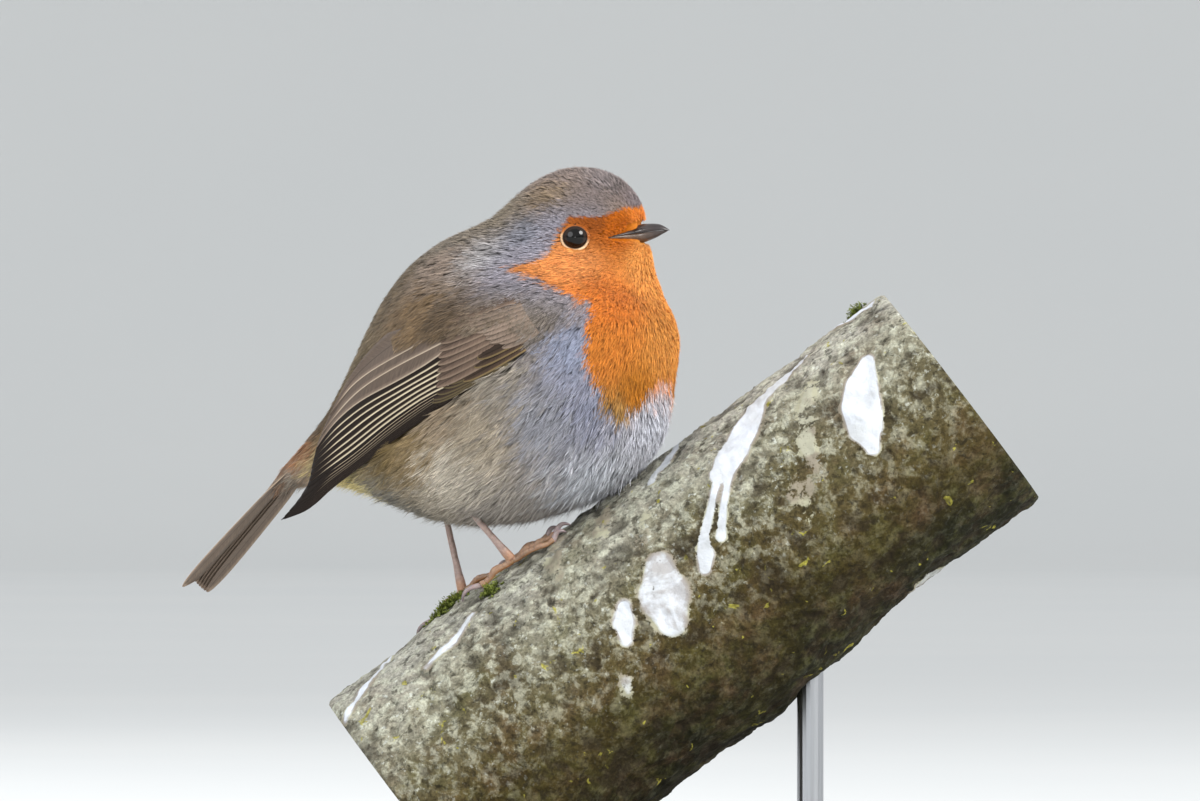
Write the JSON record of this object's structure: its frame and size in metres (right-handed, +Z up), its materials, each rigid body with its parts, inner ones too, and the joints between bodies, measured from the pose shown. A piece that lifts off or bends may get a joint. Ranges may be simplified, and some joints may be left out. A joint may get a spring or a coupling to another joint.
{
  "type": "robin model on a branch stand",
  "caption": "Life-size still model of a robin, a small songbird, perched on a short sloping length of branch that a plain display stand holds.",
  "frame": {"origin": "centre of the stand's underside, on the floor", "axes": "+Z up; +X along the branch's uphill direction, seen from above; the robin faces +X and a little towards -Y; -Y is the side that the camera sees"},
  "size_m": [0.1618, 0.09, 0.1585],
  "materials": {
    "plumage_orange": "soft feathers",
    "plumage_pale": "soft feathers",
    "plumage_brown": "soft feathers",
    "flight_feathers": "close, slightly silky vanes",
    "bill_horn": "smooth dark horn",
    "eye_dark": "wet and glossy",
    "leg_skin": "scaly, slightly shiny",
    "claw_horn": "smooth horn",
    "bark": "rough bark with lichen",
    "stand_wood": "satin, dark stained",
    "stand_steel": "satin"
  },
  "bodies": {
    "root": {"bill_lower": "bill_horn", "bill_upper": "bill_horn", "claw_left_hind": "claw_horn", "claw_left_inner": "claw_horn", "claw_left_middle": "claw_horn", "claw_left_outer": "claw_horn", "claw_right_hind": "claw_horn", "claw_right_inner": "claw_horn", "claw_right_middle": "claw_horn", "claw_right_outer": "claw_horn", "eye_left": "eye_dark", "eye_right": "eye_dark", "foot_left": "leg_skin", "foot_right": "leg_skin", "head": "plumage_orange", "neck": "plumage_orange", "perch": "bark", "rump": "plumage_brown", "shank_left": "leg_skin", "shank_right": "leg_skin", "stand_base": "stand_wood", "stand_rod_high": "stand_steel", "stand_rod_low": "stand_steel", "tail": "flight_feathers", "trunk": "plumage_pale", "wing_left_coverts": "plumage_brown", "wing_left_flight": "flight_feathers", "wing_right_coverts": "plumage_brown", "wing_right_flight": "flight_feathers"}
  },
  "joints": []
}
